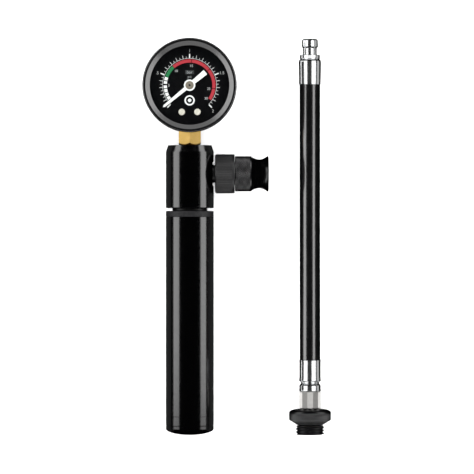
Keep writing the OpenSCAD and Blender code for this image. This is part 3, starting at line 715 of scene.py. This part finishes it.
def lens_material():
    """Clear glass with smudges, which reflects on its outer faces only."""
    made = bpy.data.materials.new("lens")
    made.use_nodes = True
    tree = made.node_tree
    tree.nodes.clear()
    new, link = tree.nodes.new, tree.links.new
    out = new("ShaderNodeOutputMaterial")
    mix = new("ShaderNodeMixShader")
    link(mix.outputs["Shader"], out.inputs["Surface"])

    clear = new("ShaderNodeBsdfTransparent")
    clear.inputs["Color"].default_value = (0.97, 0.98, 0.98, 1)
    link(clear.outputs["BSDF"], mix.inputs[1])

    gloss = new("ShaderNodeBsdfGlossy")
    gloss.inputs["Color"].default_value = (1, 1, 1, 1)
    link(gloss.outputs["BSDF"], mix.inputs[2])
    place = new("ShaderNodeTexCoord")
    smudge = new("ShaderNodeTexNoise")
    smudge.inputs["Scale"].default_value = 180
    smudge.inputs["Detail"].default_value = 6
    link(place.outputs["Object"], smudge.inputs["Vector"])
    spread = new("ShaderNodeMapRange")
    spread.inputs["To Min"].default_value = 0.02
    spread.inputs["To Max"].default_value = 0.08
    link(smudge.outputs["Fac"], spread.inputs["Value"])
    link(spread.outputs["Result"], gloss.inputs["Roughness"])

    edge = new("ShaderNodeFresnel")
    edge.inputs["IOR"].default_value = GLASS_IOR
    face = new("ShaderNodeNewGeometry")
    outward = new("ShaderNodeMath")
    outward.operation = "SUBTRACT"
    outward.inputs[0].default_value = 1.0
    link(face.outputs["Backfacing"], outward.inputs[1])
    sheen = new("ShaderNodeMath")
    sheen.operation = "MULTIPLY"
    link(edge.outputs["Fac"], sheen.inputs[0])
    link(outward.outputs["Value"], sheen.inputs[1])
    link(sheen.outputs["Value"], mix.inputs["Fac"])
    return made


def rgb(r, g, b):
    """Linear colour with full cover."""
    return (r, g, b, 1.0)


LOOKS = {
    "gloss_black": dict(
        colour=rgb(0.0002, 0.0002, 0.0003), tone=rgb(0.0005, 0.0005, 0.0006),
        roughness=(0.13, 0.18), ior=1.9, lines=0.0003, grain=0.0003),
    "collar_black": dict(
        colour=rgb(0.001, 0.001, 0.0012), tone=rgb(0.022, 0.022, 0.0235),
        roughness=(0.42, 0.6), grain=0.03, grain_scale=3200, tone_scale=900),
    "knurl_black": dict(
        colour=rgb(0.003, 0.003, 0.0033), tone=rgb(0.006, 0.006, 0.0063),
        roughness=(0.29, 0.38), ior=1.7, lines=0.002, line_axis="X", tone_scale=500),
    "grip_black": dict(
        colour=rgb(0.001, 0.001, 0.0012), tone=rgb(0.003, 0.003, 0.0033),
        roughness=(0.16, 0.24), ior=1.8, lines=0.0015, line_axis="X", tone_scale=500),
    "nose_black": dict(
        colour=rgb(0.0004, 0.0004, 0.0005), tone=rgb(0.001, 0.001, 0.0012),
        roughness=(0.19, 0.26), lines=0.0008, line_axis="X", tone_scale=300),
    "thumb_black": dict(
        colour=rgb(0.0012, 0.0012, 0.0014), tone=rgb(0.003, 0.003, 0.0033),
        roughness=(0.16, 0.24), ior=1.8, lines=0.0008, tone_scale=500),
    "bezel_black": dict(
        colour=rgb(0.0008, 0.0008, 0.001), tone=rgb(0.0018, 0.0018, 0.002),
        roughness=(0.2, 0.26), ior=1.9, grain=0.0008, tone_scale=260),
    "case_black": dict(
        colour=rgb(0.005, 0.005, 0.0055), tone=rgb(0.009, 0.009, 0.0095),
        roughness=(0.3, 0.42), grain=0.012, grain_scale=2600),
    "barrel": dict(
        colour=rgb(0.03, 0.03, 0.032), tone=rgb(0.05, 0.05, 0.053),
        roughness=(0.18, 0.26), metallic=0.9, lines=0.0015),
    "chrome": dict(
        colour=rgb(0.8, 0.81, 0.82), tone=rgb(0.86, 0.87, 0.88),
        roughness=(0.15, 0.21), metallic=1.0, lines=0.0006, grain=0.0006),
    "bright_steel": dict(
        colour=rgb(0.5, 0.51, 0.53), tone=rgb(0.62, 0.63, 0.65),
        roughness=(0.16, 0.26), metallic=1.0, lines=0.0012),
    "satin_nickel": dict(
        colour=rgb(0.56, 0.55, 0.53), tone=rgb(0.66, 0.65, 0.63),
        roughness=(0.29, 0.38), metallic=1.0, lines=0.02, line_axis="X", line_scale=1800,
        tone_scale=900),
    "brass": dict(
        colour=rgb(0.46, 0.3, 0.085), tone=rgb(0.6, 0.4, 0.13),
        roughness=(0.29, 0.38), metallic=1.0, lines=0.0009, line_scale=1500, tone_scale=420),
    "brass_plate": dict(
        colour=rgb(0.62, 0.44, 0.18), tone=rgb(0.76, 0.56, 0.26),
        roughness=(0.29, 0.4), metallic=1.0, lines=0.002, line_axis="X"),
    "copper": dict(
        colour=rgb(0.6, 0.26, 0.13), tone=rgb(0.72, 0.36, 0.2),
        roughness=(0.29, 0.42), metallic=1.0),
    "rubber": dict(
        colour=rgb(0.0015, 0.0015, 0.0015), tone=rgb(0.004, 0.004, 0.004),
        roughness=(0.34, 0.46), grain=0.004, grain_scale=3600),
    "hose_rubber": dict(
        colour=rgb(0.001, 0.001, 0.0011), tone=rgb(0.0026, 0.0026, 0.0028),
        roughness=(0.16, 0.24), ior=1.8, grain=0.0015, grain_scale=3000, lines=0.0006,
        line_axis="X", line_scale=900),
    "bush_plastic": dict(
        colour=rgb(0.018, 0.018, 0.02), tone=rgb(0.026, 0.026, 0.028),
        roughness=(0.4, 0.55), grain=0.008, grain_scale=2500),
    "dial_black": dict(
        colour=rgb(0.0012, 0.0012, 0.0016), tone=rgb(0.0022, 0.0022, 0.0028),
        roughness=(0.5, 0.62), grain=0.004, specular=0.3),
    "print_white": dict(
        colour=rgb(0.72, 0.72, 0.7), tone=rgb(0.8, 0.8, 0.79),
        roughness=(0.5, 0.62), grain=0.004, tone_scale=900),
    "print_pale": dict(
        colour=rgb(0.42, 0.42, 0.41), tone=rgb(0.5, 0.5, 0.49),
        roughness=(0.5, 0.62), grain=0.004, tone_scale=900),
    "print_grey": dict(
        colour=rgb(0.24, 0.25, 0.25), tone=rgb(0.33, 0.34, 0.34),
        roughness=(0.5, 0.62), grain=0.004, tone_scale=900),
    "print_dim": dict(
        colour=rgb(0.022, 0.023, 0.024), tone=rgb(0.04, 0.041, 0.042),
        roughness=(0.5, 0.62), grain=0.004, tone_scale=900),
    "print_red": dict(
        colour=rgb(0.36, 0.022, 0.031), tone=rgb(0.42, 0.03, 0.042),
        roughness=(0.5, 0.62), grain=0.004, tone_scale=700),
    "print_green": dict(
        colour=rgb(0.011, 0.145, 0.045), tone=rgb(0.016, 0.18, 0.06),
        roughness=(0.5, 0.62), grain=0.004, tone_scale=700),
    "pointer_white": dict(
        colour=rgb(0.72, 0.72, 0.7), tone=rgb(0.8, 0.8, 0.79),
        roughness=(0.36, 0.5), grain=0.004, tone_scale=600),
    "pointer_cap": dict(
        colour=rgb(0.16, 0.135, 0.1), tone=rgb(0.27, 0.235, 0.185),
        roughness=(0.3, 0.45), metallic=0.3, tone_scale=900),
    "screw_plate": dict(
        colour=rgb(0.5, 0.47, 0.38), tone=rgb(0.78, 0.75, 0.66),
        roughness=(0.3, 0.45), metallic=0.1, lines=0.002, line_axis="X", tone_scale=900),
}
MATERIALS = {name: material(name, **look) for name, look in LOOKS.items()}
MATERIALS["lens"] = lens_material()

NODE_MATERIALS = {
    "gloss_black": ["head_body", "handle_sleeve", "end_cap"],
    "collar_black": ["sleeve_collar"],
    "knurl_black": ["port_adapter"],
    "bezel_black": ["gauge_bezel"],
    "case_black": ["gauge_case"],
    "barrel": ["barrel_tube"],
    "chrome": ["upper_ferrule", "hose_nipple", "nipple_washer", "lock_ball_1", "lock_ball_2",
               "lock_ball_3", "valve_ball"],
    "bright_steel": ["socket_body", "snap_ring", "sleeve_spring", "piston_rod", "piston_screw",
                     "rod_nut", "movement_pillars", "pinion_arbor", "hairspring"],
    "satin_nickel": ["swivel_nut"],
    "brass": ["gauge_stem", "valve_seat", "piston", "bourdon_tube", "tube_tip", "dial_posts"],
    "brass_plate": ["movement_back_plate", "movement_front_plate", "sector_gear", "tip_link"],
    "copper": ["stem_washer", "port_washer"],
    "rubber": ["bumper_ring", "barrel_seal", "union_seal", "socket_o_ring", "piston_seal",
               "cap_o_ring", "lens_gasket", "thread_o_ring"],
    "bush_plastic": ["barrel_end_bush", "collar_bush"],
    "dial_black": ["dial_plate"],
    "pointer_white": ["pointer"],
    "pointer_cap": ["pointer_cap"],
    "screw_plate": ["dial_screws"],
    "lens": ["gauge_lens"],
}

PIECE_MATERIALS = [
    (hose, "hose_rubber"),
    (valve_spring, "bright_steel"),
    (union_ring, "knurl_black"),
    (release_grip, "grip_black"),
    (release_nose, "nose_black"),
    (swivel_stem, "chrome"),
    (lower_ferrule, "chrome"),
    (thumb_collar, "thumb_black"),
    (dial_scale, "print_white"),
    (dial_numbers, "print_pale"),
    (dial_units, "print_grey"),
    (dial_unit_box, "print_dim"),
    (dial_mark, "print_white"),
    (dial_white_band, "print_white"),
    (dial_green_band, "print_green"),
    (dial_red_band, "print_red"),
]

for key, members in NODE_MATERIALS.items():
    for member in members:
        mesh = nodes[member].data
        mesh.materials.clear()
        mesh.materials.append(MATERIALS[key])
for piece, key in PIECE_MATERIALS:
    piece.data.materials.append(MATERIALS[key])


# ---------- floor and light ----------

# Radiance of the lights that shape the pump, the hose and the bright metal
STRIP, HOSE_GLOW, METAL = 1.9, 3.3, 1.3
# Power of a rectangular light for each unit of its radiance times its area
POWER_PER_RADIANCE = 4
# Half of the floor's width, and its gap below the pieces that lie on it
FLOOR_HALF, FLOOR_DROP = 8.0, 0.00005


def floor():
    """Pale surface, which the lights below it shine through."""
    mesh = bpy.data.meshes.new("floor")
    corners = [(-1, -1), (1, -1), (1, 1), (-1, 1)]
    mesh.from_pydata(
        [(x * FLOOR_HALF, y * FLOOR_HALF, 0) for x, y in corners], [], [(0, 1, 2, 3)])
    piece = bpy.data.objects.new("floor", mesh)
    bpy.context.scene.collection.objects.link(piece)
    piece.location.z = -FLOOR_DROP
    mesh.materials.append(material(
        "floor_white", rgb(0.86, 0.86, 0.86), rgb(0.9, 0.9, 0.9), (0.7, 0.85),
        tone_scale=3, grain=0.0))
    piece.visible_glossy = False
    piece.visible_shadow = False
    return piece


def panel(name, place, aim, size, radiance, glossy=True, only=(), never=(), shadow=True):
    """Soft box of a given radiance facing the point aim, size (across, along Y).

    only lists the pieces that it lights, or never the ones that it doesn't.
    """
    light = bpy.data.lights.new(name, "AREA")
    light.shape = "RECTANGLE"
    light.size, light.size_y = size
    light.energy = POWER_PER_RADIANCE * radiance * size[0] * size[1]
    piece = bpy.data.objects.new(name, light)
    bpy.context.scene.collection.objects.link(piece)
    back = (Vector(place) - Vector(aim)).normalized()
    across = Vector((0, 1, 0)).cross(back).normalized()
    turn = Matrix((across, back.cross(across), back)).transposed()
    piece.matrix_world = Matrix.Translation(place) @ turn.to_4x4()
    piece.visible_camera = False
    piece.visible_glossy = glossy
    light.use_shadow = shadow
    if only or never:
        group = bpy.data.collections.new(name)
        for member in only or never:
            group.objects.link(member)
        piece.light_linking.receiver_collection = group
        for item in group.collection_objects:
            item.light_linking.link_state = "INCLUDE" if only else "EXCLUDE"


def card(name, low_deg, high_deg, radiance, long=2.4, y=0.0, reach=1.2, **lit):
    """Panel along Y that covers these angles from straight up, positive to the right."""
    middle_rad = math.radians((low_deg + high_deg) / 2)
    half_rad = math.radians((high_deg - low_deg) / 2)
    place = centre + reach * Vector((math.sin(middle_rad), 0, math.cos(middle_rad)))
    place.y = y
    panel(name, place, (centre.x, y, centre.z), (2 * reach * math.tan(half_rad), long),
          radiance, **lit)


ground = floor()
# Point that the lights face, and the groups of pieces that have lights of their own
centre = Vector((0.02, 0.0, pump_z))
METALS = ("chrome", "brass", "bright_steel", "copper", "brass_plate")
chromed = [nodes[n] for key in METALS for n in NODE_MATERIALS[key]]
chromed += [swivel_stem, lower_ferrule]
nut = [nodes["swivel_nut"]]
bezel = [nodes["gauge_bezel"]]
glossy_black = [nodes[n] for n in NODE_MATERIALS["gloss_black"]]
apart = chromed + nut + bezel + [hose, thumb_collar, release_nose]

card("left_strip", -85, -53, STRIP, long=1.64, y=0.69, never=apart)
card("right_strip", 53, 85, STRIP, long=1.64, y=0.69, never=apart)
for low, high in ((-150, -104), (104, 150)):
    card(f"edge_glow_{low}", low, high, 0.07, only=glossy_black)
card("hose_left", -82, -44, HOSE_GLOW, only=[hose])
card("hose_right", 34, 58, HOSE_GLOW, only=[hose])
card("metal_left", -72, -29, METAL, long=1.8, y=-0.3, only=chromed)
card("metal_left_low", -112, -80, METAL, long=1.8, y=-0.3, only=chromed)
card("metal_right", 20, 64, METAL, long=1.8, y=-0.3, only=chromed)
card("metal_right_low", 78, 112, 0.3 * METAL, long=1.8, y=-0.3, only=chromed)
card("metal_fill", -25, 15, 0.025, only=chromed)
card("washer_fill", -100, 60, 0.8, only=[nodes["nipple_washer"]])
card("nut_top", -14, 14, 0.95, only=nut)
card("nut_left", -75, -45, 0.5, only=nut)
card("nut_left_low", -130, -100, 1.5, only=nut)
card("nut_right", 45, 75, 0.4, only=nut)
card("nut_right_low", 100, 130, 1.3, only=nut)
card("thumb_left", -88, -48, 0.8, long=4.0, only=[thumb_collar])
card("thumb_right", 48, 88, 0.8, long=4.0, only=[thumb_collar])
panel("thumb_end", (0, -1.3, 0.6), centre, (2.2, 0.6), 4.0, only=[thumb_collar])
card("union_top", -20, 20, 0.3, long=2.2, only=[union_ring])
for side in (-1, 1):
    place = (0, side * 1.25, 0.6)
    panel(f"union_side_{side}", place, centre, (1.2, 1.0), 0.7, only=[union_ring])
    panel(f"grip_side_{side}", place, centre, (2.6, 1.2), 0.9, only=[release_grip])
card("nose_edge", -89, -79, 6.0, only=[release_nose])
card("bezel_left", -70, -46, 2.9, long=2.6, only=bezel)
card("bezel_right", 46, 70, 2.9, long=2.6, only=bezel)
for side in (-1, 1):
    panel(f"bezel_end_{side}", (0, side * 1.1, 0.75), centre, (1.6, 0.8), 1.0, only=bezel)
    panel(f"end_{side}", (0, side * 1.3, 0.85), centre, (1.6, 0.6), 0.5, never=apart)
for side in (-1, 1):
    panel(f"brass_end_{side}", (0, side * 1.3, 0.5), centre, (1.6, 0.8), 0.6,
          only=[nodes["gauge_stem"]])
panel("overhead", (0, 0, 2.0), centre, (3.0, 3.0), 2.4, glossy=False)
panel(
    "ground_wash", (0, 0, 2.2), centre, (3.0, 3.0), 2.0, glossy=False, only=[ground],
    shadow=False)

world = bpy.data.worlds.new("studio")
bpy.context.scene.world = world
world.use_nodes = True
sky = world.node_tree.nodes["Background"]
sky.inputs["Color"].default_value = rgb(0.92, 0.93, 0.94)
sky.inputs["Strength"].default_value = 0.35
world.cycles_visibility.glossy = False
bpy.context.scene.view_settings.view_transform = "Standard"
